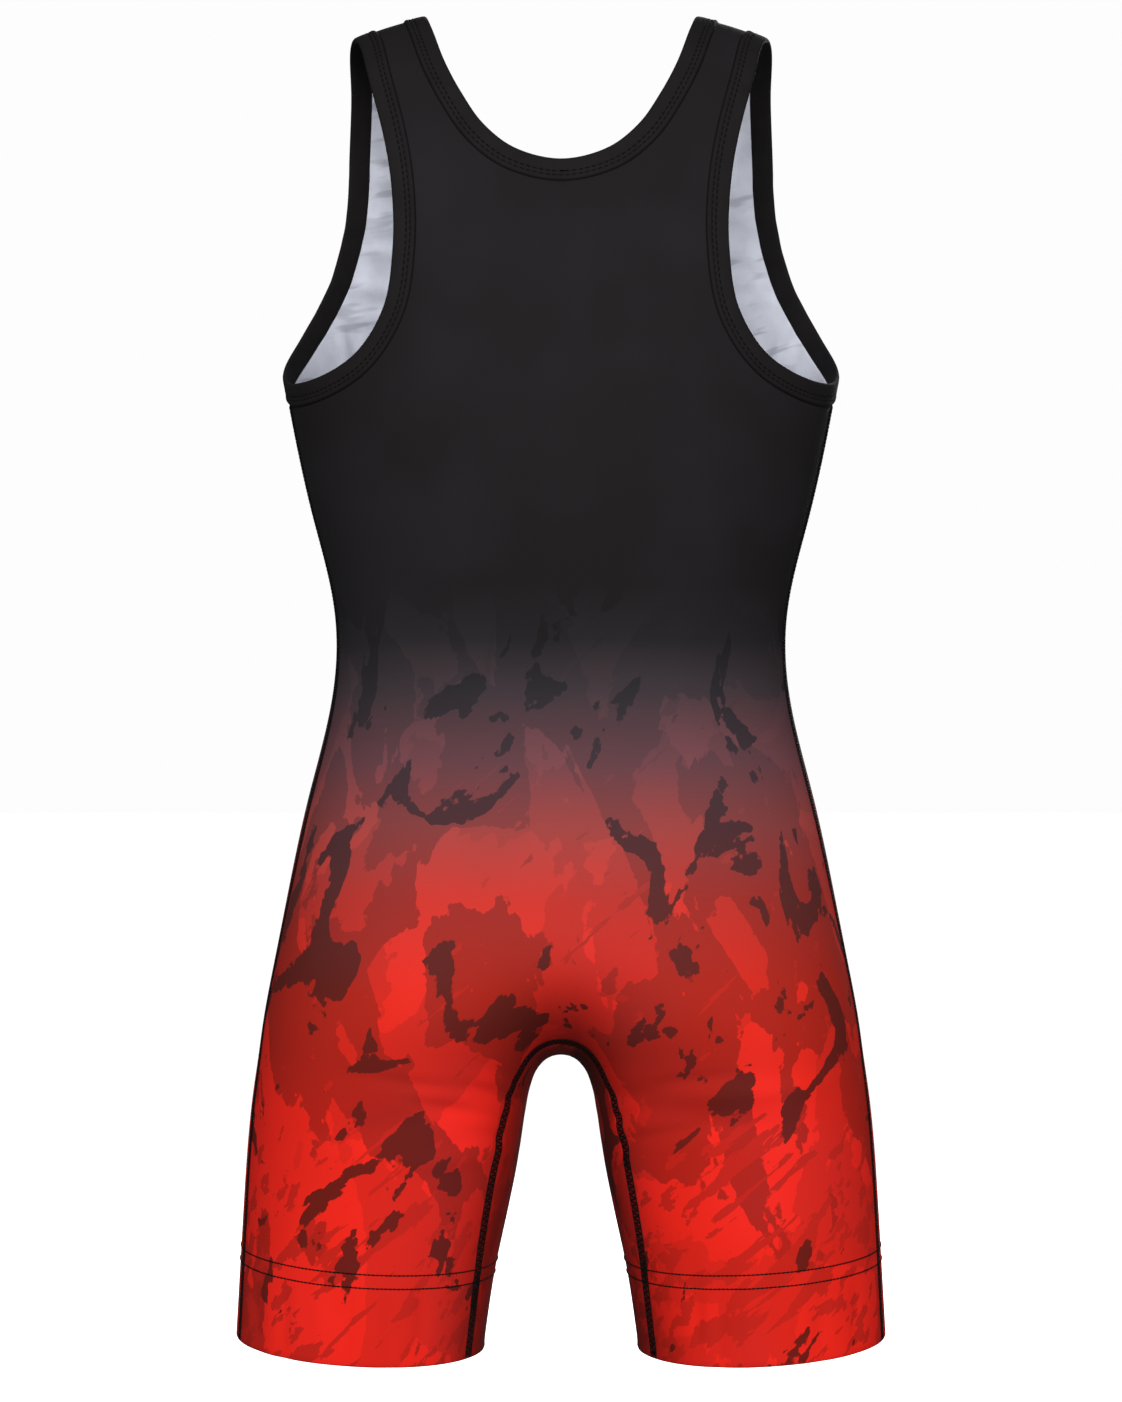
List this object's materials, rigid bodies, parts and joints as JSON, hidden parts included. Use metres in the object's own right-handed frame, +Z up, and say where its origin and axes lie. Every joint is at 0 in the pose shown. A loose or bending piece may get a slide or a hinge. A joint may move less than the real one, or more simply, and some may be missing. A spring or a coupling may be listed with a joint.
{
  "type": "wrestling singlet filled out as when worn, with no wearer",
  "caption": "One-piece sleeveless singlet with scooped neck, deep armholes and thigh-length legs, bound at neck and arms and hemmed at the legs, hollow and open as when worn.",
  "frame": {"origin": "midway between the two straps at the height where the wearer's shoulders carry them", "axes": "+Z up, -Y the garment's back, +Y its front, +X the wearer's right"},
  "size_m": [0.4388, 0.2404, 0.8971],
  "materials": {
    "panel_cloth": "matte stretch knit, printed outside, white inside",
    "binding_cloth": "matte black stretch knit"
  },
  "bodies": {
    "root": {"back_panel": "panel_cloth", "front_panel": "panel_cloth", "neck_binding": "binding_cloth", "armhole_binding_left": "binding_cloth", "armhole_binding_right": "binding_cloth"}
  },
  "joints": []
}
